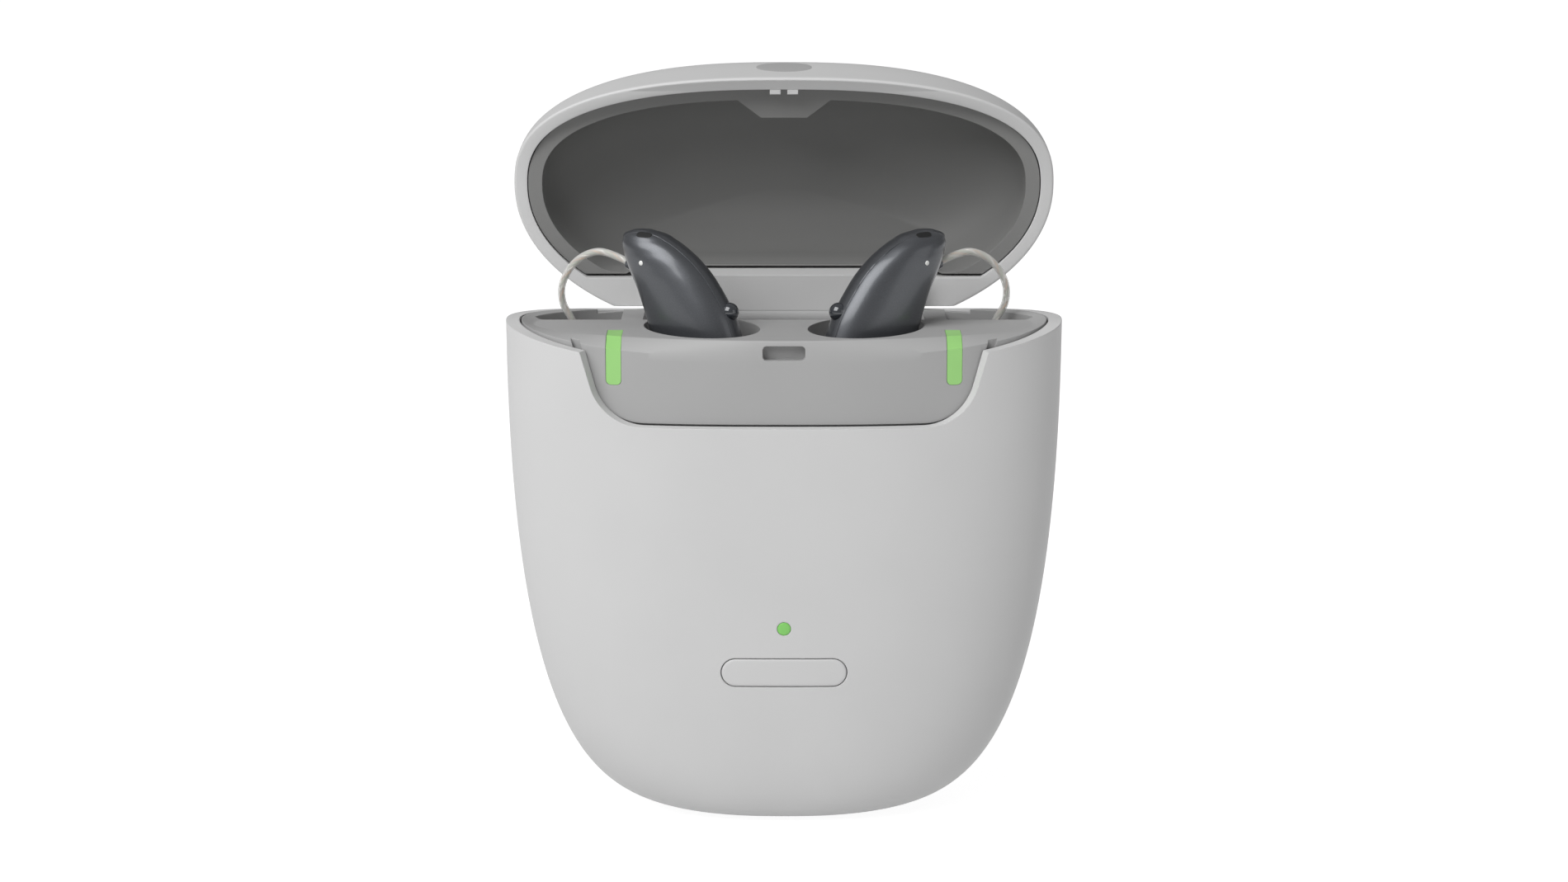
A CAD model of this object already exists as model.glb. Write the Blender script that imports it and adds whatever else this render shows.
import math

import bpy
import bmesh
import numpy as np
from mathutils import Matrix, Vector


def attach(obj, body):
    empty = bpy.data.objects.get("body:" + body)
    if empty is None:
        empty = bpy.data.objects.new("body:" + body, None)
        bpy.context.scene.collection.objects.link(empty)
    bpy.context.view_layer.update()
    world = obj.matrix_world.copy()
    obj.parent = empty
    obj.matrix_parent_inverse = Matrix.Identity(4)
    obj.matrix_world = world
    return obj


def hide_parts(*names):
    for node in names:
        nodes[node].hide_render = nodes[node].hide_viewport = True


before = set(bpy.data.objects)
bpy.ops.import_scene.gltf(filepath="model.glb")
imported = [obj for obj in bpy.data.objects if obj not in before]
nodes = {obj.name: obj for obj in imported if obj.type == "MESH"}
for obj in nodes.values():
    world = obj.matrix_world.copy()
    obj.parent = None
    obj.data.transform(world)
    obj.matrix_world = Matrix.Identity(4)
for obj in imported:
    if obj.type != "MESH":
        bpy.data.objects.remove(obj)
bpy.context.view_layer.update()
mm = 0.001

# The case's own sizes in millimetres, the same as the solids'
housing = {
    "halfWidth": 41.4, "frontDepth": 17.6, "rearDepth": 23.8, "frontPower": 2.5, "rearPower": 2.08,
    "base": 0.6, "rim": 75.0, "frontDip": 4.7, "rearDip": 2.5,
    "apex": 81.2, "foot": 0.45, "bow": 2.55, "squareness": 4.6, "depthShare": 0.54,
    "wall": 2.0, "trayGap": 2.3,
}
lid = {
    "height": 20.2, "bow": 4.0, "squareness": 2.2, "seam": 0.3, "rearFlat": 18.7,
    "hingeBack": 19.1, "hingeHeight": 73.2, "openAngle": 85.0, "barrel": 2.2,
    "blockHalf": 20.7, "blockFront": 13.1, "blockTop": 78.0, "earMiddle": 16.0, "earWidth": 3.4,
    "lipHeight": 75.3, "lipWidth": 2.3, "linerGap": 0.15, "linerWall": 1.2, "bridgeFront": 14.35,
    "tongueRoot": 7.2, "tongueTip": 3.5, "tongueLength": 2.8, "badgeRadius": 4.3, "badgeHeight": 79.6,
    "edge": 0.4, "bowlRound": 9.0, "bowlCorner": 1.0, "rearGap": 0.4, "rearWall": 0.25,
}


# Forms, as whole arrays

def planAt(turn, half, front, rear, frontPower, rearPower):
    # x = half cos^(2/n), y = depth sin^(2/n), with one power and depth in front and another behind
    c, s = np.cos(turn), np.sin(turn)
    power = np.where(s < 0, frontPower, rearPower)
    depth = np.where(s < 0, front, rear)
    return (half * np.sign(c) * np.abs(c) ** (2 / power), depth * np.sign(s) * np.abs(s) ** (2 / power))


def sideScale(z):
    # share of the full width: (1 - drop^bow)^(1/squareness)
    drop = (housing["apex"] - z) / (housing["apex"] - housing["foot"])
    return (1 - np.clip(drop, 0, 1) ** housing["bow"]) ** (1 / housing["squareness"])


def domeScale(share):
    # share of the lid's width at a share of its height: (1 - t^bow)^(1/squareness)
    return (1 - np.clip(share, 0, 1) ** lid["bow"]) ** (1 / lid["squareness"])


def formAt(turn, scale, inset=0.0):
    deep = scale ** housing["depthShare"]
    return planAt(turn, housing["halfWidth"] * scale - inset, housing["frontDepth"] * deep - inset,
                  housing["rearDepth"] * deep - inset, housing["frontPower"], housing["rearPower"])


def rimHeight(y):
    # two arcs that meet level at y = 0
    depth = np.where(y < 0, housing["frontDepth"], housing["rearDepth"])
    dip = np.where(y < 0, housing["frontDip"], housing["rearDip"])
    radius = (depth ** 2 + dip ** 2) / (2 * dip)
    return housing["rim"] - radius + np.sqrt(np.maximum(radius ** 2 - y ** 2, 0))


def frontFace(x, z, scale, inset=0.0):
    # y of the front surface above a point of the front view
    half = housing["halfWidth"] * scale - inset
    deep = housing["frontDepth"] * scale ** housing["depthShare"] - inset
    power = housing["frontPower"]
    return -deep * (1 - np.clip(np.abs(x) / half, 0, 1) ** power) ** (1 / power)


def swingOpen(points):
    # turns the lid back about its hinge line, from closed to its resting pose
    angle = math.radians(lid["openAngle"])
    y = points[..., 1] - lid["hingeBack"]
    z = points[..., 2] - lid["hingeHeight"]
    turned = points.copy()
    turned[..., 1] = lid["hingeBack"] + y * math.cos(angle) + z * math.sin(angle)
    turned[..., 2] = lid["hingeHeight"] - y * math.sin(angle) + z * math.cos(angle)
    return turned


def evenTurns(count, *shape):
    # angles that space points evenly along a plan outline
    fine = np.linspace(0, 2 * np.pi, 7201)
    x, y = planAt(fine, *shape)
    length = np.concatenate([[0], np.cumsum(np.hypot(np.diff(x), np.diff(y)))])
    return np.interp(np.arange(count) / count * length[-1], length, fine)


rimPlan = (housing["halfWidth"], housing["frontDepth"], housing["rearDepth"], housing["frontPower"],
           housing["rearPower"])


# Meshes

def gridQuads(rows, columns, wrap, start=0):
    index = start + np.arange(rows * columns).reshape(rows, columns)
    if wrap:
        index = np.concatenate([index, index[:, :1]], axis=1)
    return np.stack([index[:-1, :-1], index[:-1, 1:], index[1:, 1:], index[1:, :-1]], axis=-1).reshape(-1, 4)


def makePiece(name, points, faces, smoothAngle=40):
    # points in millimetres, faces as lists of corners
    mesh = bpy.data.meshes.new(name)
    mesh.from_pydata((np.asarray(points) * mm).tolist(), [], [list(map(int, face)) for face in faces])
    mesh.validate()
    piece = bpy.data.objects.new(name, mesh)
    bpy.context.scene.collection.objects.link(piece)
    mesh.shade_smooth()
    if smoothAngle:
        mesh.set_sharp_from_angle(angle=math.radians(smoothAngle))
    return piece


def closedGrid(rings):
    # rings (rows, columns, 3) joined into one closed skin, its first and last ring filled with a flat face
    rows, columns = rings.shape[:2]
    faces = gridQuads(rows, columns, True).tolist()
    faces.append(list(range(columns))[::-1])
    faces.append(list(range((rows - 1) * columns, rows * columns)))
    return rings.reshape(-1, 3), faces


def prism(outline, low, high, axis):
    # closed outline pushed along an axis; the outline's two numbers are the other two axes in order
    outline = np.asarray(outline, float)
    rings = np.zeros((2, len(outline), 3))
    others = [other for other in range(3) if other != axis]
    for end, at in enumerate((low, high)):
        rings[end][:, others[0]] = outline[:, 0]
        rings[end][:, others[1]] = outline[:, 1]
        rings[end][:, axis] = at
    return closedGrid(rings)


def block(low, high):
    return prism([(low[0], low[1]), (high[0], low[1]), (high[0], high[1]), (low[0], high[1])], low[2], high[2], 2)


def joined(*skins):
    points, faces, start = [], [], 0
    for skinPoints, skinFaces in skins:
        points.append(np.asarray(skinPoints, float).reshape(-1, 3))
        faces += [[int(corner) + start for corner in face] for face in skinFaces]
        start += len(points[-1])
    return np.concatenate(points), faces


def facesOut(piece):
    cage = bmesh.new()
    cage.from_mesh(piece.data)
    bmesh.ops.remove_doubles(cage, verts=cage.verts, dist=0.000002)
    bmesh.ops.recalc_face_normals(cage, faces=cage.faces)
    cage.to_mesh(piece.data)
    cage.free()


def finishModifiers(piece):
    # the evaluated mesh takes the place of the piece's own, with nothing live left
    bpy.context.view_layer.update()
    evaluated = piece.evaluated_get(bpy.context.evaluated_depsgraph_get())
    mesh = bpy.data.meshes.new_from_object(evaluated)
    piece.modifiers.clear()
    piece.data = mesh


def carve(piece, *cutters, operation="DIFFERENCE"):
    # cuts closed pieces out of a closed piece, or with UNION adds them to it
    facesOut(piece)
    for cutter in cutters:
        facesOut(cutter)
        cut = piece.modifiers.new("cut", "BOOLEAN")
        cut.operation = operation
        cut.solver = "EXACT"
        cut.object = cutter
        finishModifiers(piece)
        bpy.data.objects.remove(cutter)


def movePoints(piece, change):
    # change takes and gives an array of points in millimetres
    count = len(piece.data.vertices)
    flat = np.empty(count * 3)
    piece.data.vertices.foreach_get("co", flat)
    piece.data.vertices.foreach_set("co", (change(flat.reshape(-1, 3) / mm) * mm).ravel())
    piece.data.update()


def lathe(name, profile, base, direction, steps=40):
    # circles of each radius at each distance along a direction: point = base + d along + r (cos, sin) across
    along = np.array(direction, float) / np.linalg.norm(direction)
    across = np.cross(along, [0.0, 0.0, 1.0] if abs(along[2]) < 0.9 else [0.0, 1.0, 0.0])
    across /= np.linalg.norm(across)
    beside = np.cross(along, across)
    turn = np.arange(steps) / steps * 2 * np.pi
    circle = np.cos(turn)[:, None] * across + np.sin(turn)[:, None] * beside
    profile = np.array(profile, float)
    rings = np.array(base) + profile[:, 0, None, None] * along + profile[:, 1, None, None] * circle
    piece = makePiece(name, *closedGrid(rings))
    facesOut(piece)
    return piece


def settle(piece, body, material, *replaced, smoothAngle=35):
    mesh = piece.data
    mesh.materials.clear()
    mesh.materials.append(material)
    mesh.shade_smooth()
    mesh.set_sharp_from_angle(angle=math.radians(smoothAngle))
    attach(piece, body)
    if replaced:
        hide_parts(*replaced)
    return piece


# Materials

def toLinear(hexColour):
    parts = [int(hexColour[at:at + 2], 16) / 255 for at in (1, 3, 5)]
    return [part / 12.92 if part <= 0.04045 else ((part + 0.055) / 1.055) ** 2.4 for part in parts] + [1.0]


def addNode(tree, kind, settings=None, **links):
    # one node, its settings by name and its inputs by value or link
    node = tree.nodes.new(kind)
    for name, value in (settings or {}).items():
        setattr(node, name, value)
    for name, value in links.items():
        socket = node.inputs[name.replace("_", " ")]
        if isinstance(value, bpy.types.NodeSocket):
            tree.links.new(value, socket)
        else:
            socket.default_value = value
    return node


def startMaterial(name):
    material = bpy.data.materials.new(name)
    material.use_nodes = True
    tree = material.node_tree
    tree.nodes.clear()
    surface = tree.nodes.new("ShaderNodeBsdfPrincipled")
    output = tree.nodes.new("ShaderNodeOutputMaterial")
    tree.links.new(surface.outputs["BSDF"], output.inputs["Surface"])
    where = tree.nodes.new("ShaderNodeTexCoord").outputs["Object"]
    return material, tree, surface, where


def mouldedPlastic(name, colour, roughness, grainSize=0.18, grainDepth=0.004, edge=0.25, mottle=0.03):
    # moulded ABS with a spark-eroded skin: an even colour that drifts a little, a fine matt grain, soft edges
    material, tree, surface, where = startMaterial(name)
    low = [channel * (1 - mottle) for channel in toLinear(colour)[:3]] + [1.0]
    high = [min(channel * (1 + mottle), 1.0) for channel in toLinear(colour)[:3]] + [1.0]
    cloud = addNode(tree, "ShaderNodeTexNoise", Vector=where, Scale=1 / (14 * mm), Detail=2.0)
    tone = addNode(tree, "ShaderNodeMix", {"data_type": "RGBA"}, Factor=cloud.outputs["Fac"])
    tone.inputs[6].default_value = low
    tone.inputs[7].default_value = high
    grain = addNode(tree, "ShaderNodeTexNoise", Vector=where, Scale=1 / (grainSize * mm), Detail=3.0)
    gloss = addNode(tree, "ShaderNodeMapRange", Value=grain.outputs["Fac"], To_Min=roughness - 0.05,
                    To_Max=roughness + 0.06)
    rounded = addNode(tree, "ShaderNodeBevel", {"samples": 6}, Radius=edge * mm)
    bump = addNode(tree, "ShaderNodeBump", Height=grain.outputs["Fac"], Strength=0.35, Distance=grainDepth * mm,
                   Normal=rounded.outputs["Normal"])
    tree.links.new(tone.outputs[2], surface.inputs["Base Color"])
    tree.links.new(gloss.outputs["Result"], surface.inputs["Roughness"])
    tree.links.new(bump.outputs["Normal"], surface.inputs["Normal"])
    surface.inputs["IOR"].default_value = 1.53
    return material


def lightGuide(name, colour, strength):
    # green-tinted acrylic lit from behind: an even glow that is a little stronger in its middle
    material, tree, surface, where = startMaterial(name)
    cloud = addNode(tree, "ShaderNodeTexNoise", Vector=where, Scale=1 / (3 * mm), Detail=1.0)
    glow = addNode(tree, "ShaderNodeMapRange", Value=cloud.outputs["Fac"], To_Min=strength * 0.85,
                   To_Max=strength * 1.15)
    surface.inputs["Base Color"].default_value = toLinear(colour)
    surface.inputs["Roughness"].default_value = 0.35
    surface.inputs["Emission Color"].default_value = toLinear(colour)
    tree.links.new(glow.outputs["Result"], surface.inputs["Emission Strength"])
    return material


def graphiteLacquer(name, colour, roughness=0.3, metallic=0.35, coat=0.6):
    # lacquered polyamide shell: dark grey with fine metallic flake under a clear coat, which gives it broad
    # soft highlights and a dark tone beside them
    material, tree, surface, where = startMaterial(name)
    flake = addNode(tree, "ShaderNodeTexVoronoi", Vector=where, Scale=1 / (0.12 * mm))
    spread = addNode(tree, "ShaderNodeMapRange", Value=flake.outputs["Distance"], To_Min=0.88, To_Max=1.12)
    tone = addNode(tree, "ShaderNodeMix", {"data_type": "RGBA", "blend_type": "MULTIPLY"}, Factor=1.0)
    tone.inputs[6].default_value = toLinear(colour)
    tree.links.new(spread.outputs["Result"], tone.inputs[7])
    tree.links.new(tone.outputs[2], surface.inputs["Base Color"])
    surface.inputs["Metallic"].default_value = metallic
    surface.inputs["Roughness"].default_value = roughness
    surface.inputs["Coat Weight"].default_value = coat
    surface.inputs["Coat Roughness"].default_value = 0.12
    return material


def clearSilicone(name, colour, alpha, roughness):
    # cast silicone: milky and soft-edged, so what lies inside shows through it
    material, tree, surface, where = startMaterial(name)
    cloud = addNode(tree, "ShaderNodeTexNoise", Vector=where, Scale=1 / (0.6 * mm), Detail=2.0)
    gloss = addNode(tree, "ShaderNodeMapRange", Value=cloud.outputs["Fac"], To_Min=roughness - 0.04,
                    To_Max=roughness + 0.04)
    tree.links.new(gloss.outputs["Result"], surface.inputs["Roughness"])
    surface.inputs["Base Color"].default_value = toLinear(colour)
    surface.inputs["Alpha"].default_value = alpha
    surface.inputs["IOR"].default_value = 1.41
    return material


def plainFinish(name, colour, roughness, metallic=0.0, grainSize=0.4, spread=0.06):
    # hidden works: an even colour broken by a fine grain
    material, tree, surface, where = startMaterial(name)
    grain = addNode(tree, "ShaderNodeTexNoise", Vector=where, Scale=1 / (grainSize * mm), Detail=3.0)
    tone = addNode(tree, "ShaderNodeMix", {"data_type": "RGBA"}, Factor=grain.outputs["Fac"])
    tone.inputs[6].default_value = [channel * (1 - 2 * spread) for channel in toLinear(colour)[:3]] + [1.0]
    tone.inputs[7].default_value = [min(channel * (1 + 2 * spread), 1.0) for channel in toLinear(colour)[:3]] + [1.0]
    gloss = addNode(tree, "ShaderNodeMapRange", Value=grain.outputs["Fac"], To_Min=roughness - 0.06,
                    To_Max=roughness + 0.06)
    tree.links.new(tone.outputs[2], surface.inputs["Base Color"])
    tree.links.new(gloss.outputs["Result"], surface.inputs["Roughness"])
    surface.inputs["Metallic"].default_value = metallic
    return material


shellPlastic = mouldedPlastic("satinAbsShell", "#cdcdcd", 0.5)
lidPlastic = mouldedPlastic("satinAbsLid", "#cacaca", 0.5)
trayPlastic = mouldedPlastic("mattAbsTray", "#a6a6a6", 0.55, grainDepth=0.006, edge=0.2)
linerPlastic = mouldedPlastic("mattAbsLiner", "#7c7c7b", 0.6, grainDepth=0.006, edge=0.2)
badgePlastic = mouldedPlastic("bareDisc", "#a9a9a9", 0.4, edge=0.1)
barLight = lightGuide("greenAcrylicBar", "#86b86c", 0.3)
statusLight = lightGuide("greenAcrylicLens", "#70b058", 0.35)
aidLacquer = graphiteLacquer("graphiteLacquerAid", "#54565a", roughness=0.36, metallic=0.6, coat=0.35)
buttonGloss = graphiteLacquer("glossPolyamideButton", "#33363b", roughness=0.15, metallic=0.2, coat=1.0)
aidDark = plainFinish("blackPolyamide", "#101112", 0.5)
wireSheath = clearSilicone("milkySiliconeSheath", "#f0f0ee", 0.5, 0.2)
domeSilicone = clearSilicone("moltenSiliconeDome", "#c9c9c6", 0.8, 0.35)
strandGold = plainFinish("goldEnamelledLead", "#b07a20", 0.35, metallic=0.5, grainSize=0.3)
strandSilver = plainFinish("silverEnamelledLead", "#d8d2c8", 0.35, metallic=0.5, grainSize=0.3)
strandGreen = plainFinish("greenEnamelledLead", "#7c8a5a", 0.35, metallic=0.3, grainSize=0.3)
aidWhite = plainFinish("whitePolyamide", "#e6e6e4", 0.35)
footRubber = plainFinish("siliconeRubber", "#3a3b3c", 0.75)
pinSteel = plainFinish("drawnSteel", "#b9bbbd", 0.3, metallic=1.0)
boardLaminate = plainFinish("solderMask", "#1f5a33", 0.4)
framePlastic = plainFinish("blackNylon", "#2a2b2c", 0.55)
cellFoil = plainFinish("cellFoil", "#8f9499", 0.4, metallic=0.6)
coilCopper = plainFinish("enamelledCopper", "#b5713c", 0.35, metallic=0.9)
for nodeName, material in {
    "foot_pad": footRubber, "light_bar_left": barLight, "light_bar_right": barLight, "led_status": statusLight,
    "hinge_pin": pinSteel, "chassis": framePlastic, "battery": cellFoil, "main_board": boardLaminate,
    "button_switch": framePlastic, "coil_left": coilCopper, "coil_right": coilCopper, "power_socket": pinSteel,
    "socket_board": boardLaminate, "lid_catch": lidPlastic,
}.items():
    node = nodes[nodeName]
    node.data.materials.clear()
    node.data.materials.append(material)
print("materials made")

# Housing shell: one skin up to its rim and window, with an opening for button and light, then its wall
shellLook = {"centreStep": 0.35, "centreReach": 12.6, "pillHeight": 24.65, "pillLength": 18.7, "pillWidth": 4.45,
             "lightHeight": 31.4, "lightHole": 1.03, "rings": 6}
window = {"foot": 26.6, "bottom": 61.4, "slope": 13.6 / 4.0, "radius": 8.0, "arcStart": 20.62, "arcEnd": 28.29}
hingeNotch = {"half": 21.2, "floor": 70.2}


def shellTurns():
    centre = np.arange(0, shellLook["centreReach"] + 0.01, shellLook["centreStep"])
    frontX = np.concatenate([centre, np.arange(13.2, 20.0, 0.7), np.arange(20.3, 31.2, 0.22)])
    rearX = np.concatenate([np.arange(0, 21.0, 1.1), [21.18, 21.22], np.arange(22.2, 31, 1.1)])

    def quarter(xs, power):
        cosine = (xs / (housing["halfWidth"] * 0.9985)) ** (power / 2)
        turns = np.arccos(cosine)  # from a quarter turn at x = 0 down to zero at the side
        rest = np.linspace(turns[-1], 0, 22 if power > 2.2 else 20)[1:]
        return np.concatenate([turns, rest])

    front = quarter(frontX, housing["frontPower"])
    rear = quarter(rearX, housing["rearPower"])
    right = rear[::-1][:-1]
    left = np.pi - rear
    frontLeft = np.pi + front[::-1][1:-1]
    frontRight = 2 * np.pi - front[:-1]
    return np.concatenate([right, left, frontLeft, frontRight])


def windowEdge(x):
    x = np.abs(x)
    arc = window["bottom"] + window["radius"] - np.sqrt(
        np.maximum(window["radius"] ** 2 - (x - window["arcStart"]) ** 2, 0))
    line = 67.14 + (x - window["arcEnd"]) * window["slope"]
    return np.where(x < window["arcStart"], window["bottom"], np.where(x < window["arcEnd"], arc, line))


def shellTop(turns):
    # rim height per column, lowered by the front window and the hinge notch
    top = np.full_like(turns, 72.0)
    for _ in range(8):
        x, y = formAt(turns, sideScale(top))
        top = rimHeight(y)
        top = np.where((y < 0) & (np.abs(x) < 36), np.minimum(top, windowEdge(x)), top)
        top = np.where((y > 0) & (np.abs(x) < hingeNotch["half"]), hingeNotch["floor"], top)
    return top


def nearestOnPill(x, z, height, length, radius):
    # nearest point of a pill outline, and of a circle where the length is nought
    along = np.clip(x, -length / 2, length / 2)
    dx, dz = x - along, z - height
    reach = np.maximum(np.hypot(dx, dz), 1e-9)
    return along + dx / reach * radius, height + dz / reach * radius


def makeShell():
    turns = shellTurns()
    top = shellTop(turns)
    levels = np.concatenate([
        0.6 + 20.4 * np.linspace(0, 1, 30) ** 2.1, np.linspace(21, 28.3, 22)[1:],
        np.linspace(28.3, 34.5, 18)[1:], np.linspace(34.5, window["bottom"], 24)[1:]])
    shares = (levels - housing["base"]) / (window["bottom"] - housing["base"])
    z = housing["base"] + shares[:, None] * (top - housing["base"])[None, :]
    x, y = formAt(turns[None, :], sideScale(z))
    grid = np.stack([x, y, z], axis=-1)
    rows, columns = z.shape
    quads = gridQuads(rows, columns, True)
    rowOf, columnOf = np.divmod(quads[:, 0], columns)
    points = [grid.reshape(-1, 3)]
    faces = []
    keep = np.ones(len(quads), bool)
    count = rows * columns
    centreColumns = np.nonzero(turns > np.pi)[0]
    frontX = grid[-1, :, 0]
    for height, length, radius, reach, lowLevel, highLevel in (
            (shellLook["pillHeight"], shellLook["pillLength"] - shellLook["pillWidth"], shellLook["pillWidth"] / 2,
             shellLook["centreReach"], 21.0, 28.3),
            (shellLook["lightHeight"], 0.0, shellLook["lightHole"], 3.6, 28.3, 34.5)):
        within = centreColumns[np.abs(frontX[centreColumns]) <= reach + 0.05]
        first, last = within[0], within[-1]
        bottom = int(np.argmin(np.abs(levels - lowLevel)))
        upper = int(np.argmin(np.abs(levels - highLevel)))
        keep &= ~((rowOf >= bottom) & (rowOf < upper) & (columnOf >= first) & (columnOf < last))
        loop = [(bottom, c) for c in range(first, last)] + [(r, last) for r in range(bottom, upper)]
        loop += [(upper, c) for c in range(last, first, -1)] + [(r, first) for r in range(upper, bottom, -1)]
        edge = np.array([r * columns + c for r, c in loop])
        outer = points[0][edge]
        pillX, pillZ = nearestOnPill(outer[:, 0], outer[:, 2], height, length, radius)
        previous = edge
        for ring in range(1, shellLook["rings"] + 1):
            share = (ring / shellLook["rings"]) ** 0.8
            ringX = outer[:, 0] + (pillX - outer[:, 0]) * share
            ringZ = outer[:, 2] + (pillZ - outer[:, 2]) * share
            points.append(np.stack([ringX, frontFace(ringX, ringZ, sideScale(ringZ)), ringZ], axis=-1))
            current = count + np.arange(len(edge))
            count += len(edge)
            faces += np.stack([previous, np.roll(previous, -1), np.roll(current, -1), current], axis=-1).tolist()
            previous = current
    faces += quads[keep].tolist()
    # flat base, rings drawn in to a middle point
    centre = np.array([0, 2.0, housing["base"]])
    base = grid[0]
    previous = np.arange(columns)
    for share in (0.9, 0.6, 0.3, 0.1):
        points.append(centre + (base - centre) * share)
        current = count + np.arange(columns)
        count += columns
        faces += np.stack([current, np.roll(current, -1), np.roll(previous, -1), previous], axis=-1).tolist()
        previous = current
    points.append(centre[None, :])
    faces += [[count, int(b), int(a)] for a, b in zip(previous, np.roll(previous, -1))]
    piece = makePiece("bodyShellSkin", np.concatenate(points), faces, 0)
    wall = piece.modifiers.new("wall", "SOLIDIFY")
    wall.thickness = housing["wall"] * mm
    wall.offset = -1
    finishModifiers(piece)
    return piece


bodyShell = settle(makeShell(), "charger", shellPlastic, "body_shell")
print("housing shell made")

# Power button: rings from the pill's edge to its middle line, laid on the housing's own surface
button = {"gap": 0.12, "roundOver": 0.22, "back": 13.2}


def makeButton():
    radius = shellLook["pillWidth"] / 2 - button["gap"]
    straight = (shellLook["pillLength"] - shellLook["pillWidth"]) / 2
    arc = np.linspace(-np.pi / 2, np.pi / 2, 25)
    line = np.linspace(straight, -straight, 41)[1:-1]
    midX = np.concatenate([np.full(25, straight), line, np.full(25, -straight), line[::-1]])
    outX = np.concatenate([np.cos(arc), np.zeros(39), -np.cos(arc), np.zeros(39)])
    outZ = np.concatenate([np.sin(arc), np.ones(39), -np.sin(arc), -np.ones(39)])
    rings = []
    for ringRadius, sink in ((radius, 2.2), (radius, button["roundOver"]), (radius - 0.03, 0.11),
                             (radius - 0.1, 0.035), (radius - 0.22, 0.0), (radius * 0.75, 0.0),
                             (radius * 0.5, 0.0), (radius * 0.25, 0.0), (0.0001, 0.0)):
        x = midX + outX * ringRadius
        z = shellLook["pillHeight"] + outZ * ringRadius
        rings.append(np.stack([x, frontFace(x, z, sideScale(z)) + sink, z], axis=-1))
    points, faces = closedGrid(np.array(rings))
    piece = makePiece("powerButtonCap", points, faces)
    facesOut(piece)
    return piece


powerButton = settle(makeButton(), "power_button", shellPlastic, "power_button")


def makeLens():
    # shallow dome: a disc whose rings rise to the middle
    turns = np.linspace(0, 2 * np.pi, 49)[:-1]
    rings = []
    for radius, sink in ((0.98, 2.0), (0.98, 0.12), (0.94, 0.05), (0.85, 0.0), (0.6, -0.04), (0.3, -0.06), (0.001, -0.06)):
        x = radius * np.cos(turns)
        z = shellLook["lightHeight"] + radius * np.sin(turns)
        rings.append(np.stack([x, frontFace(x, z, sideScale(z)) + sink, z], axis=-1))
    piece = makePiece("statusLens", *closedGrid(np.array(rings)))
    facesOut(piece)
    return piece


statusLens = settle(makeLens(), "charger", statusLight, "status_light")

# Tray: skirt, sloping band and ledge as one closed skin, then wells, pockets and trough cut out
tray = {"skirt": 58.5, "ledge": 74.0, "ledgeHalf": 37.3, "ledgeInset": 0.3, "ledgePower": 1.8, "rearLip": 1.4,
        "ledgeBack": 4.4, "pocketInner": 24.5, "pocketFloor": 62.0, "pocketHalf": 38.2, "pocketRear": 20.5, "troughHalf": 21.2,
        "troughFloor": 70.5, "rearShelf": 73.4, "wellX": 12.2, "wellY": -2.5, "wellLong": 10.6, "wellShort": 8.2,
        "wellTurn": 25.0, "wellFloor": 61.0, "slotHalf": 3.1, "slotLow": 71.1, "slotHigh": 73.2, "slotBack": -13.4,
        "slotCorner": 0.6, "barCorner": 0.7, "groove": 0.2, "grooveDepth": 0.8, "barX": 24.9, "barHalf": 1.15, "barLow": 67.15, "barCore": 12.45, "barBack": 5.15,
        "edge": 0.35}


def windowOutline(grow):
    # the front window's edge as a closed outline, moved out by grow along its own normals, closed above the rim
    x = np.concatenate([np.linspace(-31.0, -20.7, 60), np.linspace(-20.5, 20.5, 30), np.linspace(20.7, 31.0, 60)])
    z = windowEdge(x)
    slopeX, slopeZ = np.gradient(x), np.gradient(z)
    length = np.hypot(slopeX, slopeZ)
    x, z = x + grow * slopeZ / length, z - grow * slopeX / length
    return np.concatenate([np.stack([x, z], axis=-1), [[x[-1], 90.0], [x[0], 90.0]]])


def roundedBox(half, low, high, radius):
    # outline of a box from low to high with round corners, as quarter circles
    turn = np.linspace(0, np.pi / 2, 7)
    corners = [(half - radius, high - radius, 0), (radius - half, high - radius, 1), (radius - half, low + radius, 2),
               (half - radius, low + radius, 3)]
    return np.concatenate([np.stack([x + radius * np.cos(turn + quarter * np.pi / 2),
                                     z + radius * np.sin(turn + quarter * np.pi / 2)], axis=-1)
                           for x, z, quarter in corners])


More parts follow.
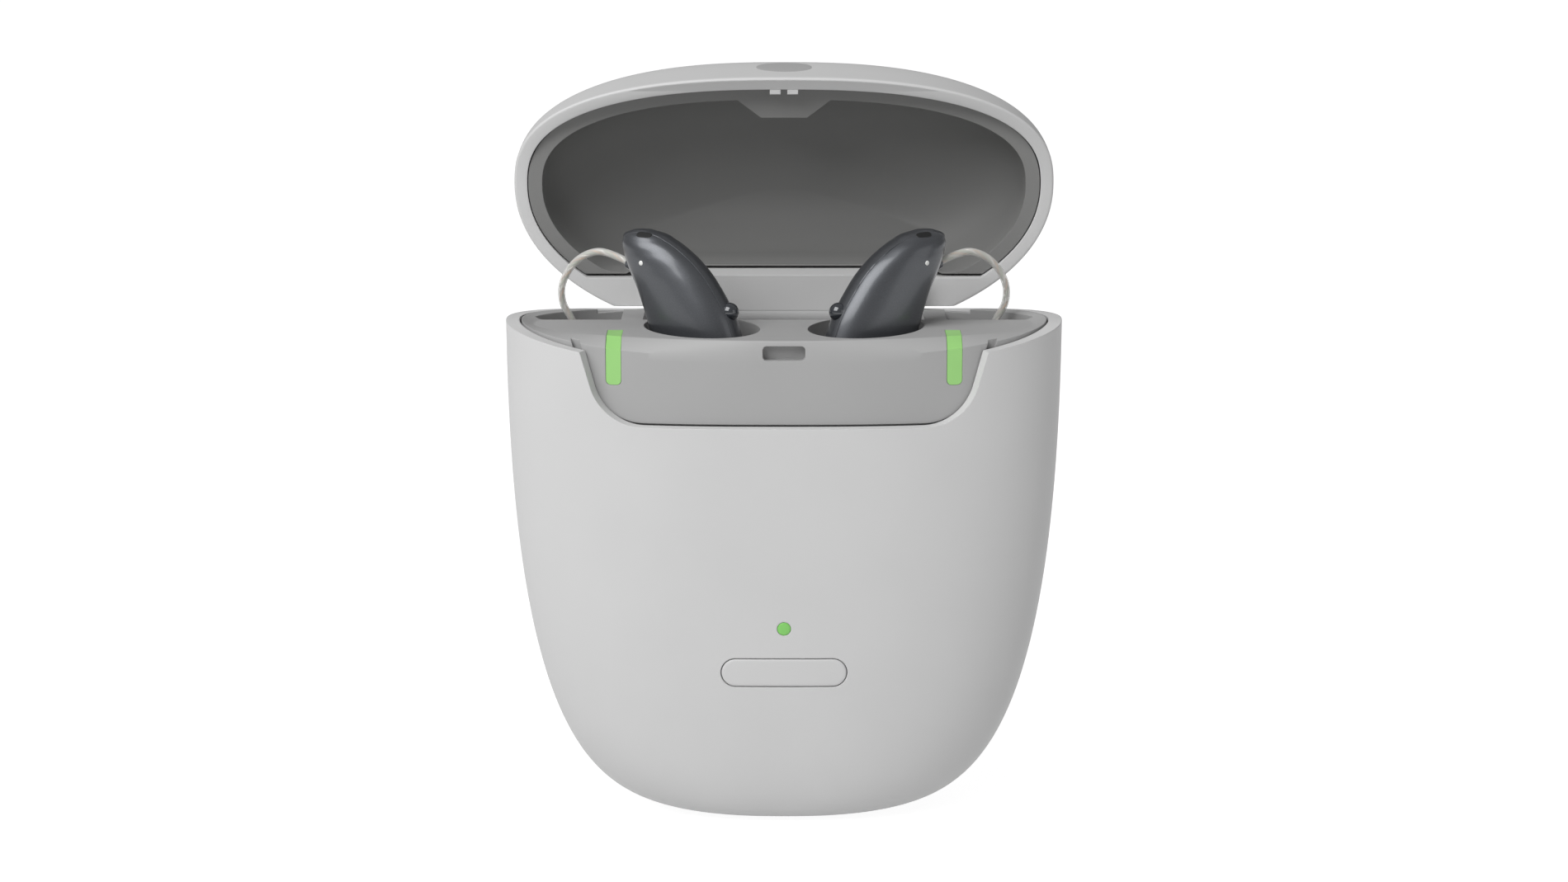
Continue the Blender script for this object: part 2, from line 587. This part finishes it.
def makeTray():
    turns = evenTurns(320, *rimPlan)
    gap = housing["trayGap"]
    front, rear = housing["frontDepth"] - gap, housing["rearDepth"] - gap
    rings = []
    for share in np.linspace(0, 1, 14):
        x, y = formAt(turns, 1.0, gap)
        top = rimHeight(y)
        z = tray["skirt"] + (top - tray["skirt"]) * share
        x, y = formAt(turns, sideScale(z), gap)
        rings.append(np.stack([x, y, z], axis=-1))
    rim = rings[-1]
    ledgeFront, ledgeRear = front - tray["ledgeInset"], rear - tray["rearLip"]
    x, y = planAt(turns, tray["ledgeHalf"], ledgeFront, ledgeRear, tray["ledgePower"], housing["rearPower"])
    corner = np.stack([x, y, np.full_like(x, tray["ledge"])], axis=-1)
    inset = tray["edge"]
    x, y = planAt(turns, tray["ledgeHalf"] - inset, ledgeFront - inset, ledgeRear - inset, tray["ledgePower"],
                  housing["rearPower"])
    inner = np.stack([x, y, np.full_like(x, tray["ledge"])], axis=-1)
    band = np.linalg.norm(corner - rim, axis=1, keepdims=True)
    shoulder = corner + (rim - corner) * np.minimum(0.5, inset / band)
    rings.append(rim + (shoulder - rim) * 0.5)
    for u in np.linspace(0, 1, 5):
        rings.append(shoulder * (1 - u) ** 2 + corner * 2 * u * (1 - u) + inner * u ** 2)
    piece = makePiece("traySkin", *closedGrid(np.array(rings)))
    cutters = []

    def addCutter(name, skin):
        cutters.append(makePiece(name, *skin))

    for side in (-1, 1):
        angle = np.linspace(0, 2 * np.pi, 97)[:-1]
        turn = math.radians(90 - tray["wellTurn"]) * side
        along, across = tray["wellLong"] * np.cos(angle), tray["wellShort"] * np.sin(angle)
        wellX = side * tray["wellX"] + along * math.cos(turn) - across * math.sin(turn)
        wellY = tray["wellY"] + along * math.sin(turn) + across * math.cos(turn)
        addCutter("wellCut", prism(np.stack([wellX, wellY], axis=-1), tray["wellFloor"], 90, 2))
        half, rearDepth = tray["pocketHalf"], tray["pocketRear"]
        startTurn = math.asin((tray["ledgeBack"] / rearDepth) ** (housing["rearPower"] / 2))
        endTurn = math.acos((tray["pocketInner"] / half) ** (housing["rearPower"] / 2))
        x, y = planAt(np.linspace(startTurn, endTurn, 60), half, ledgeFront, rearDepth, 2.0, housing["rearPower"])
        pocket = np.concatenate([np.stack([x, y], axis=-1), [[tray["pocketInner"], tray["ledgeBack"]]]])
        pocket[:, 0] *= side
        addCutter("pocketCut", prism(pocket, tray["pocketFloor"], 90, 2))
        barX = side * tray["barX"]
        leg = roundedBox(tray["barHalf"], tray["barLow"], 90, tray["barCorner"]) + [barX, 0]
        addCutter("barLegCut", prism(leg, -30, -tray["barCore"], 1))
        addCutter("barFootCut", block((barX - tray["barHalf"], -tray["barCore"] - 0.5, 72.35),
                                      (barX + tray["barHalf"], -tray["barBack"], 90)))
    addCutter("troughCut", block((-tray["troughHalf"], tray["ledgeBack"], tray["troughFloor"]),
                                 (tray["troughHalf"], 60, 90)))
    addCutter("rearCut", block((-60, 14.05, tray["rearShelf"]), (60, 60, 90)))
    addCutter("slotCut", prism(roundedBox(tray["slotHalf"], tray["slotLow"], tray["slotHigh"], tray["slotCorner"]),
                               -30, tray["slotBack"], 1))
    groove = makePiece("grooveCut", *prism(windowOutline(1.0), -30, 0, 1), 0)
    x, y = formAt(turns, sideScale(68.0), gap + tray["grooveDepth"])
    carve(groove, makePiece("grooveInside", *prism(windowOutline(-tray["groove"]), -31, 1, 1), 0),
          makePiece("grooveBack", *prism(np.stack([x, y], axis=-1), 40, 90, 2), 0))
    carve(piece, *cutters, groove)
    ears = []
    angle = np.linspace(0, np.pi, 25)
    earOutline = np.concatenate([
        [[lid["hingeBack"] - lid["barrel"], tray["troughFloor"] - 0.2], [lid["hingeBack"] + lid["barrel"], tray["troughFloor"] - 0.2]],
        np.stack([lid["hingeBack"] + lid["barrel"] * np.cos(angle), lid["hingeHeight"] + lid["barrel"] * np.sin(angle)], axis=-1)])
    for side in (-1, 1):
        middle = side * lid["earMiddle"]
        ears.append(prism(earOutline, middle - lid["earWidth"] / 2, middle + lid["earWidth"] / 2, 0))
    earPiece = makePiece("hingeEars", *joined(*ears))
    facesOut(earPiece)
    cage = bmesh.new()
    cage.from_mesh(piece.data)
    cage.from_mesh(earPiece.data)
    cage.to_mesh(piece.data)
    cage.free()
    bpy.data.objects.remove(earPiece)
    return piece


trayPiece = settle(makeTray(), "charger", trayPlastic, "tray")
print("tray made")


# Lid: a closed dome less its hollow, with a bridge, hinge block and barrel behind, built closed and swung open

def domeSolid(inset, low, top, clamp=None):
    # closed dome up from a flat mouth: plan outline times (1 - t^bow)^(1/squareness) at share t of its height
    turns = evenTurns(320, *rimPlan)
    rim = max(housing["rim"], low)
    shares = np.sin(np.pi / 2 * np.linspace(0, 1, 56)) * 0.9985
    levels = rim + (top - rim) * shares
    if low < rim:
        shares, levels = np.concatenate([[0], shares]), np.concatenate([[low], levels])
    scale = domeScale(shares)[:, None]
    deep = scale ** housing["depthShare"]
    x, y = planAt(turns[None, :], (housing["halfWidth"] - inset) * scale, (housing["frontDepth"] - inset) * deep,
                  (housing["rearDepth"] - inset) * deep, housing["frontPower"], housing["rearPower"])
    z = np.repeat(levels[:, None], len(turns), axis=1)
    if clamp:
        y = clamp(x, y, z)
    return closedGrid(np.stack([x, y, z], axis=-1))


def lidOutside():
    # rows up from the arched lower edge; its underside is ruled from side to side
    turns = evenTurns(320, *rimPlan)
    x, y = formAt(turns, 1.0)
    low = rimHeight(y) + lid["seam"]
    rims = np.maximum(low, housing["rim"])
    shares = 0.9985 * np.sin(np.pi / 2 * np.linspace(0, 1, 56))
    scale = domeScale(shares)[:, None]
    dx, dy = formAt(turns[None, :], scale)
    rise = housing["rim"] + lid["height"] * shares[:, None]
    upper = np.stack([dx, dy, np.maximum(rise, rims[None, :])], axis=-1)
    skirt = np.linspace(0, 1, 5)[:-1, None]
    z = low[None, :] + (rims - low)[None, :] * skirt
    edge = lid["edge"]
    ex, ey = formAt(turns, 1.0, edge)
    turned = np.sin(np.pi / 2 * np.linspace(0, 1, 5)[:-1, None])
    rounding = np.stack([ex + (x - ex) * turned, ey + (y - ey) * turned,
                         low + edge * (1 - np.sqrt(1 - turned ** 2))], axis=-1)
    skirt = np.stack([np.broadcast_to(x, z.shape), np.broadcast_to(y, z.shape), np.maximum(z, low + edge)], axis=-1)
    upper[..., 2] = np.maximum(upper[..., 2], (low + edge)[None, :])
    rows = np.concatenate([rounding, skirt, upper])
    points, faces = closedGrid(rows)
    del faces[-2]
    columns, quarter = len(turns), len(turns) // 4
    for i in range(-quarter, quarter):
        strip = [i % columns, (i + 1) % columns, (2 * quarter - i - 1) % columns, (2 * quarter - i) % columns]
        faces.append(list(dict.fromkeys(strip))[::-1])
    return points, faces


def makeLid():
    wall, top = housing["wall"], housing["rim"] + lid["height"]
    back, height, radius = lid["hingeBack"], lid["hingeHeight"], lid["barrel"]
    piece = makePiece("lidShell", *lidOutside(), 0)
    hollow = makePiece("lidHollow", *domeSolid(wall, 60, top - wall), 0)
    carve(hollow, makePiece("rearWall", *block((-60, lid["rearFlat"] - wall, 0), (60, 90, 130))),
          makePiece("bridge", *block((-60, lid["bridgeFront"], 0), (60, 90, lid["blockTop"]))))
    carve(piece, makePiece("behindLid", *block((-60, lid["rearFlat"], 0), (60, 90, 130))), hollow)
    carve(piece, makePiece("hingeBlock", *block((-lid["blockHalf"], lid["blockFront"], height - radius),
                                                (lid["blockHalf"], lid["rearFlat"], lid["blockTop"]))),
          lathe("hingeBarrel", [(0, 0.001), (0, radius), (2 * lid["blockHalf"], radius), (2 * lid["blockHalf"], 0.001)],
                (-lid["blockHalf"], back, height), (1, 0, 0), 64), operation="UNION")
    reach = lid["earWidth"] / 2 + 0.3
    for side in (-1, 1):
        middle = side * lid["earMiddle"]
        carve(piece, makePiece("earRoom", *block((middle - reach, back - radius - 0.3, 0),
                                                 (middle + reach, 90, height + radius + 0.3))))
    movePoints(piece, swingOpen)
    return piece


lidPiece = settle(makeLid(), "lid", lidPlastic, "lid_shell")


def rearLine(x, shift):
    # y of the liner's rear edge: a step round the hinge block
    near, far = lid["blockFront"] - lid["rearGap"] - shift, lid["bridgeFront"] - lid["rearGap"] - shift
    inner = lid["blockHalf"] + lid["linerWall"]
    return near + (far - near) * np.clip((np.abs(x) - inner) / (2 * (far - near)), 0, 1)


def makeLiner():
    low = lid["lipHeight"]
    top = housing["rim"] + lid["height"]
    inset = housing["wall"] + lid["linerGap"]
    bowlTop = top - inset - lid["linerWall"]
    near, far = lid["blockFront"] - lid["rearGap"], lid["bridgeFront"] - lid["rearGap"]
    inner = lid["blockHalf"] + lid["linerWall"]
    step = inner + 2 * (far - near)
    rear = [(-60, far), (-step, far), (-inner, near), (inner, near), (step, far), (60, far), (60, 60), (-60, 60)]

    def bowlRear(x, y, z):
        # rear wall rounded into the crown by an arc, and a soft minimum where the sides meet it
        rise = np.clip(z - (bowlTop - lid["bowlRound"]), 0, lid["bowlRound"])
        limit = rearLine(x, lid["rearWall"]) - lid["bowlRound"] + np.sqrt(lid["bowlRound"] ** 2 - rise ** 2)
        blend = np.clip(lid["bowlCorner"] - np.abs(y - limit), 0, None) / lid["bowlCorner"]
        return np.minimum(y, limit) - blend ** 2 * lid["bowlCorner"] / 4

    piece = makePiece("lidLiner", *domeSolid(inset, low, top - inset), 0)
    bowl = makePiece("linerBowl", *domeSolid(housing["wall"] + lid["lipWidth"], low - 1, bowlTop, bowlRear), 0)
    carve(piece, makePiece("linerRear", *prism(rear, low - 5, low + 40, 2)), bowl)
    front = housing["wall"] + lid["lipWidth"] - housing["frontDepth"]
    tip = front + lid["tongueLength"]
    tongue = makePiece("tongue", *prism([
        (-lid["tongueRoot"], front - 1), (lid["tongueRoot"], front - 1), (lid["tongueRoot"], front),
        (lid["tongueTip"], tip), (-lid["tongueTip"], tip), (-lid["tongueRoot"], front)], low, low + lid["linerWall"], 2))
    carve(piece, tongue, operation="UNION")
    movePoints(piece, swingOpen)
    return piece


linerPiece = settle(makeLiner(), "lid", linerPlastic, "lid_liner")


def makeBadge():
    # bare disc, its rings laid on the lid's front wall and a hair proud of it
    turns = np.linspace(0, 2 * np.pi, 97)[:-1]
    rings = []
    radius = lid["badgeRadius"]
    for ringRadius, sink in ((radius, 0.4), (radius, 0.02), (radius - 0.05, -0.03), (radius - 0.15, -0.05),
                             (radius * 0.7, -0.05), (radius * 0.4, -0.05), (0.001, -0.05)):
        x = ringRadius * np.cos(turns)
        z = lid["badgeHeight"] + ringRadius * np.sin(turns)
        scale = np.where(z < housing["rim"], 1.0, domeScale((z - housing["rim"]) / lid["height"]))
        rings.append(np.stack([x, frontFace(x, z, scale) + sink, z], axis=-1))
    points, faces = closedGrid(np.array(rings))
    piece = makePiece("lidDisc", swingOpen(points), faces)
    facesOut(piece)
    return piece


lidDisc = settle(makeBadge(), "lid", badgePlastic, "lid_badge")
print("lid made")

# Hearing aids: sections by height, each its middle along the aid, half length and half thickness
aid = {"x": -12.2, "y": -3.0, "turn": 25.0, "seam": 0.08, "seamAt": -1.6, "fullness": 2.2, "edge": 0.2,
       "heights": [61.3, 62.2, 64.4, 67.9, 72.7, 76.4, 79.3, 82.4, 84.8, 86.7, 87.7, 88.15],
       "middles": [0.8, 0.85, 0.7, 0.3, -0.85, -2.1, -3.5, -5.35, -7.05, -8.55, -9.3, -9.6],
       "lengths": [1.9, 4.3, 6.3, 7.15, 7.25, 7.1, 6.78, 6.35, 5.5, 4.2, 2.9, 1.3],
       "thicknesses": [1.2, 2.6, 3.6, 4.0, 4.15, 4.15, 4.05, 3.85, 3.5, 2.8, 1.9, 1.0]}
aidButton = {"place": (4.6, 0.0, 76.65), "lean": 26.0, "radius": 1.4, "stem": 0.7, "stemLength": 2.6}
mic = {"place": (-8.5, -1.95, 87.62), "out": (0.1, -0.6, 0.79), "half": 1.2, "width": 0.56}
whiteDot = {"place": (-8.27, -3.55, 83.61), "out": (-0.18, -0.98, 0.0), "radius": 0.37}
gland = {"place": (-11.2, 0.0, 82.7), "out": (-0.93, 0.0, 0.37), "radius": 0.95, "length": 1.2}
earpiece = {"radius": 1.5, "length": 4.8, "shoulder": 0.8, "nozzle": 1.0, "nozzleLength": 2.4,
            "dome": 2.6, "domeLength": 3.7, "domeWall": 0.45}
wire = {"thickness": 1.1, "strand": 0.16, "twist": 0.24, "pitch": 3.4,
        "route": [(-23.36, 2.21, 83.14), (-25.47, 3.19, 84.07), (-28.20, 4.11, 84.60), (-31.40, 5.20, 82.9),
                  (-33.60, 6.20, 79.3), (-33.50, 7.00, 75.9), (-31.90, 7.20, 73.60), (-31.35, 7.30, 71.50)]}


def smoothTable(at, xs, ys):
    # cubic through the table's points, slopes from their neighbours
    xs, ys = np.asarray(xs, float), np.asarray(ys, float)
    slopes = np.gradient(ys, xs)
    k = np.clip(np.searchsorted(xs, at) - 1, 0, len(xs) - 2)
    h = xs[k + 1] - xs[k]
    t = (at - xs[k]) / h
    return ((1 + 2 * t) * (1 - t) ** 2 * ys[k] + t * (1 - t) ** 2 * h * slopes[k]
            + t ** 2 * (3 - 2 * t) * ys[k + 1] + t ** 2 * (t - 1) * h * slopes[k + 1])


def aidToCase(points, side):
    # from the aid's own lines to the case's; the right aid mirrors the left
    turn = math.radians(-aid["turn"])
    x, y = points[..., 0], points[..., 1]
    placed = np.array(points, float)
    placed[..., 0] = -side * (aid["x"] + x * math.cos(turn) - y * math.sin(turn))
    placed[..., 1] = aid["y"] + x * math.sin(turn) + y * math.cos(turn)
    return placed


def makeAidHalf(name, side, face):
    # the whole aid's sections, x = middle + length cos^(2/n), y = thickness sin^(2/n), cut flat at the seam
    heights = np.array(aid["heights"])
    z = np.interp(np.linspace(0, 1, 110), np.linspace(0, 1, len(heights)), heights)
    middle = smoothTable(z, heights, aid["middles"])
    length = smoothTable(z, heights, aid["lengths"])
    thickness = smoothTable(z, heights, aid["thicknesses"])
    angle = np.arange(112) / 112 * 2 * np.pi
    power = 2 / aid["fullness"]
    across = np.sign(np.cos(angle)) * np.abs(np.cos(angle)) ** power
    out = np.sign(np.sin(angle)) * np.abs(np.sin(angle)) ** power
    rings = np.stack([middle[:, None] + length[:, None] * across, thickness[:, None] * out,
                      np.repeat(z[:, None], 112, axis=1)], axis=-1)
    # top and bottom close in rings that shrink to a point
    caps = []
    for ring, lift in ((rings[0], -0.1), (rings[-1], 0.1)):
        centre = ring.mean(axis=0)
        caps.append(np.array([centre + (ring - centre) * share + [0, 0, lift * (1 - share ** 2)]
                              for share in (0.001, 0.35, 0.65, 0.85)]))
    rings = np.concatenate([caps[0], rings, caps[1][::-1]])
    piece = makePiece(name, *closedGrid(rings), 0)
    facesOut(piece)
    cage = bmesh.new()
    cage.from_mesh(piece.data)
    level = aid["seamAt"] + face * aid["seam"] / 2
    bmesh.ops.bisect_plane(cage, geom=cage.verts[:] + cage.edges[:] + cage.faces[:], dist=1e-8,
                           plane_co=(0, level * mm, 0), plane_no=(0, -face, 0), clear_outer=True)
    bmesh.ops.holes_fill(cage, edges=[edge for edge in cage.edges if edge.is_boundary])
    cage.to_mesh(piece.data)
    cage.free()
    soften = piece.modifiers.new("seamEdge", "BEVEL")
    soften.width = aid["edge"] * mm
    soften.segments = 3
    soften.limit_method = "ANGLE"
    soften.angle_limit = math.radians(40)
    finishModifiers(piece)
    movePoints(piece, lambda points: aidToCase(points, side))
    facesOut(piece)
    return piece


def makeMicSlot(side):
    # a pill-shaped disc laid across the tip: x = a cos^(2/3), y = b sin^(2/3), its middle a hair higher
    out = np.array(mic["out"]) / np.linalg.norm(mic["out"])
    longWay = np.array([1.0, 0, 0]) - out * out[0]
    longWay /= np.linalg.norm(longWay)
    wide = np.cross(out, longWay)
    turn = np.arange(48) / 48 * 2 * np.pi
    x = np.sign(np.cos(turn)) * np.abs(np.cos(turn)) ** (2 / 3) * mic["half"]
    y = np.sign(np.sin(turn)) * np.abs(np.sin(turn)) ** (2 / 3) * mic["width"]
    outline = x[:, None] * longWay + y[:, None] * wide
    rings = [np.array(mic["place"]) + outline * share + out * lift
             for share, lift in ((1.0, -0.9), (1.0, -0.02), (0.94, 0.05), (0.8, 0.06), (0.4, 0.06), (0.01, 0.06))]
    piece = makePiece("micSlot", *closedGrid(aidToCase(np.array(rings), side)))
    facesOut(piece)
    return piece


def mirrored(vector, side):
    return (-side * vector[0], vector[1], vector[2])


def routeLine(side):
    # points along the receiver wire's own NURBS spline, with the route as its control points
    curve = bpy.data.curves.new("wireRoute", "CURVE")
    curve.dimensions = "3D"
    curve.resolution_u = 24
    spline = curve.splines.new("NURBS")
    spline.points.add(len(wire["route"]) - 1)
    flat = np.array([(-side * x * mm, y * mm, z * mm, 1.0) for x, y, z in wire["route"]])
    spline.points.foreach_set("co", flat.ravel())
    spline.order_u = 3
    spline.use_endpoint_u = True
    holder = bpy.data.objects.new("wireRoute", curve)
    bpy.context.scene.collection.objects.link(holder)
    bpy.context.view_layer.update()
    mesh = bpy.data.meshes.new_from_object(holder.evaluated_get(bpy.context.evaluated_depsgraph_get()))
    line = np.empty(len(mesh.vertices) * 3)
    mesh.vertices.foreach_get("co", line)
    bpy.data.objects.remove(holder)
    bpy.data.meshes.remove(mesh)
    return line.reshape(-1, 3) / mm


def frames(line):
    # an even line's direction and two crosswise directions that don't spin along it
    along = np.gradient(line, axis=0)
    along /= np.linalg.norm(along, axis=1, keepdims=True)
    first = np.cross(along[0], [0.0, 0.0, 1.0])
    across = np.empty_like(along)
    for at, direction in enumerate(along):
        first = first - direction * first.dot(direction)
        first /= np.linalg.norm(first)
        across[at] = first
    return along, across, np.cross(along, across)


def tubeAlong(line, radius, steps):
    # circle of each point's cross directions, carried along the line
    _, across, beside = frames(line)
    turn = np.arange(steps) / steps * 2 * np.pi
    return closedGrid(line[:, None, :] + radius * (np.cos(turn)[None, :, None] * across[:, None, :]
                                                   + np.sin(turn)[None, :, None] * beside[:, None, :]))


def makeWire(word, side):
    line = routeLine(side)
    runs = np.concatenate([[0], np.cumsum(np.linalg.norm(np.diff(line, axis=0), axis=1))])
    even = np.linspace(0, runs[-1], 140)
    line = np.stack([np.interp(even, runs, line[:, axis]) for axis in range(3)], axis=-1)
    sheath = makePiece(word + "WireSheath", *tubeAlong(line, wire["thickness"] / 2, 24))
    facesOut(sheath)
    settle(sheath, word + "_aid", wireSheath, "aid_%s_wire" % word)
    _, across, beside = frames(line)
    for number, material in enumerate((strandGold, strandSilver, strandGreen)):
        # strand centre = line + twist (cos, sin) of its phase, one turn per pitch
        phase = even / wire["pitch"] * 2 * np.pi + number * 2 * np.pi / 3
        strand = line + wire["twist"] * (np.cos(phase)[:, None] * across + np.sin(phase)[:, None] * beside)
        piece = makePiece("%sWireStrand%d" % (word, number + 1), *tubeAlong(strand, wire["strand"], 10))
        facesOut(piece)
        settle(piece, word + "_aid", material)
    print("wire length", round(float(runs[-1]), 2))


def makeEarpiece(word, side):
    # receiver capsule, its nozzle and the soft dome on it, turned about the wire's last run
    top = np.array(mirrored(wire["route"][-1], side))
    down = top - np.array(mirrored(wire["route"][-2], side))
    down /= np.linalg.norm(down)
    size = earpiece
    arc = np.linspace(0, np.pi / 2, 8)[1:]
    profile = [(0, 0.001)] + [(size["shoulder"] * (1 - math.cos(a)), size["radius"] - size["shoulder"] * (1 - math.sin(a)))
                              for a in arc]
    profile += [(size["length"] * 0.62, size["radius"]), (size["length"] * 0.62 + 0.05, size["radius"] - 0.06),
                (size["length"] * 0.62 + 0.15, size["radius"] - 0.06), (size["length"] * 0.62 + 0.2, size["radius"]),
                (size["length"] - 0.1, size["radius"]), (size["length"] + 0.05, size["radius"] - 0.12),
                (size["length"] + size["shoulder"] / 2, size["nozzle"]),
                (size["length"] + size["nozzleLength"] - 0.15, size["nozzle"]),
                (size["length"] + size["nozzleLength"], size["nozzle"] - 0.15),
                (size["length"] + size["nozzleLength"], 0.001)]
    settle(lathe(word + "Receiver", profile, top, down), word + "_aid", aidLacquer, "aid_%s_receiver" % word)
    start = top + down * (size["length"] + size["shoulder"] / 2 + 0.1)
    wall, bore, long = size["domeWall"], size["nozzle"] + 0.05, size["domeLength"]
    share = np.linspace(0, 1, 14)
    # outside swells from the crown's hole to the skirt, inside follows a wall thickness within it
    outside = bore + 0.5 + (size["dome"] - bore - 0.5) * np.sin(share * np.pi / 2) ** 0.8
    rings = [(long, bore), *[(long * (1 - part), radius) for part, radius in zip(share, outside)]]
    rings += [(0.0, size["dome"] - wall * 0.6)]
    rings += [(long * (1 - part) - wall * (part < 0.9), max(radius - wall, bore + 0.05))
              for part, radius in list(zip(share, outside))[::-1] if part > 0.25]
    rings += [(long - 2 * wall, bore)]
    rings = [(distance, radius) for distance, radius in rings]
    piece = lathe(word + "Dome", rings, start, down)
    settle(piece, word + "_aid", domeSilicone, "aid_%s_dome" % word)


for side, word in ((-1, "left"), (1, "right")):
    body = word + "_aid"
    settle(makeAidHalf(word + "AidOuter", side, -1), body, aidLacquer, "aid_%s_outer_half" % word)
    settle(makeAidHalf(word + "AidInner", side, 1), body, aidLacquer, "aid_%s_inner_half" % word)
    lean = math.radians(aidButton["lean"])
    pushWay = np.array([math.cos(lean), 0, math.sin(lean)])
    ballTurn = np.linspace(0.99, 0.0, 20) * np.pi * 0.83
    ball = [(-aidButton["stemLength"], 0.001), (-aidButton["stemLength"], aidButton["stem"])]
    ball += [(aidButton["radius"] * math.cos(a), aidButton["radius"] * math.sin(a)) for a in ballTurn]
    centre = aidToCase(np.array(aidButton["place"]), side)
    outWay = aidToCase(np.array(aidButton["place"]) + pushWay, side) - centre
    settle(lathe(word + "AidButton", ball, centre, outWay, 48), body + "_button", buttonGloss, "aid_%s_button" % word)
    settle(makeMicSlot(side), body, aidDark, "aid_%s_mic_cover" % word)
    for part, look, material in (("status_dot", whiteDot, aidWhite), ("wire_socket", gland, aidLacquer)):
        place = aidToCase(np.array(look["place"]), side)
        way = aidToCase(np.array(look["place"]) + np.array(look["out"]), side) - place
        radius = look["radius"]
        if part == "status_dot":
            profile = [(-0.5, 0.001), (-0.5, radius), (-0.02, radius), (0.04, radius * 0.85), (0.07, radius * 0.5), (0.08, 0.001)]
        else:
            profile = [(0, 0.001), (0, radius), (look["length"] - 0.25, radius), (look["length"] - 0.07, radius - 0.08),
                       (look["length"], radius - 0.25), (look["length"], 0.001)]
        settle(lathe(word + part.title().replace("_", ""), profile, place, way), body, material, "aid_%s_%s" % (word, part))
    makeWire(word, side)
    makeEarpiece(word, side)
print("aids made")

# Floor, lamps and camera
studio = {"eyeHeight": 56.25, "distance": 546.7, "elevation": 11.12, "focalPixels": 4412.0, "frameWidth": 1900.0}
floorMesh = bpy.data.meshes.new("floor")
floorMesh.from_pydata([(-6, -6, 0), (6, -6, 0), (6, 9, 0), (-6, 9, 0)], [], [(0, 1, 2, 3)])
floor = bpy.data.objects.new("floor", floorMesh)
bpy.context.scene.collection.objects.link(floor)
floorPaper, tree, surface, where = startMaterial("whitePaperFloor")
tree.nodes.clear()
output = tree.nodes.new("ShaderNodeOutputMaterial")
rays = addNode(tree, "ShaderNodeLightPath")
seen = addNode(tree, "ShaderNodeMath", {"operation": "MAXIMUM"})
tree.links.new(rays.outputs["Is Camera Ray"], seen.inputs[0])
tree.links.new(rays.outputs["Is Glossy Ray"], seen.inputs[1])
shownPaper = addNode(tree, "ShaderNodeBsdfDiffuse", Color=toLinear("#8a8a8a"))
glow = addNode(tree, "ShaderNodeEmission", Color=(1, 1, 1, 1), Strength=0.93)
both = addNode(tree, "ShaderNodeAddShader")
tree.links.new(shownPaper.outputs[0], both.inputs[0])
tree.links.new(glow.outputs[0], both.inputs[1])
paper = addNode(tree, "ShaderNodeBsdfDiffuse", Color=toLinear("#dcdcdc"))
choose = addNode(tree, "ShaderNodeMixShader", Fac=seen.outputs[0])
tree.links.new(paper.outputs[0], choose.inputs[1])
tree.links.new(both.outputs[0], choose.inputs[2])
tree.links.new(choose.outputs[0], output.inputs["Surface"])
floor.data.materials.append(floorPaper)

world = bpy.data.worlds.new("studio")
bpy.context.scene.world = world
world.use_nodes = True
tree = world.node_tree
tree.nodes.clear()
output = tree.nodes.new("ShaderNodeOutputWorld")
rays = addNode(tree, "ShaderNodeLightPath")
seen = addNode(tree, "ShaderNodeMath", {"operation": "MAXIMUM"})
tree.links.new(rays.outputs["Is Camera Ray"], seen.inputs[0])
tree.links.new(rays.outputs["Is Transmission Ray"], seen.inputs[1])
soft = addNode(tree, "ShaderNodeBackground", Color=(1.0, 1.0, 1.0, 1), Strength=0.3)
white = addNode(tree, "ShaderNodeBackground", Color=(1, 1, 1, 1), Strength=1.0)
choose = addNode(tree, "ShaderNodeMixShader", Fac=seen.outputs[0])
tree.links.new(soft.outputs[0], choose.inputs[1])
tree.links.new(white.outputs[0], choose.inputs[2])
tree.links.new(choose.outputs[0], output.inputs["Surface"])


def addLamp(name, place, aim, width, power):
    lamp = bpy.data.lights.new(name, "AREA")
    lamp.shape = "SQUARE"
    lamp.size = width
    lamp.energy = power
    holder = bpy.data.objects.new(name, lamp)
    holder.location = place
    holder.rotation_euler = (Vector(aim) - Vector(place)).to_track_quat("-Z", "Y").to_euler()
    bpy.context.scene.collection.objects.link(holder)


addLamp("keyLamp", (-0.64, -0.76, 1.04), (0, 0, 0.05), 1.1, 18.8)
addLamp("fillLamp", (0.95, -0.7, 0.35), (0, 0, 0.05), 0.6, 0.8)

lens = bpy.data.cameras.new("camera")
lens.sensor_fit = "HORIZONTAL"
lens.sensor_width = 36.0
lens.lens = 36.0 * studio["focalPixels"] / studio["frameWidth"]
lens.clip_start = 0.01
lens.clip_end = 50
camera = bpy.data.objects.new("camera", lens)
target = Vector((0, 0, studio["eyeHeight"] * mm))
lift = math.radians(studio["elevation"])
camera.location = target + Vector((0, -math.cos(lift), math.sin(lift))) * studio["distance"] * mm
camera.rotation_euler = (target - camera.location).to_track_quat("-Z", "Y").to_euler()
bpy.context.scene.collection.objects.link(camera)
bpy.context.scene.camera = camera
bpy.context.scene.view_settings.view_transform = "Standard"
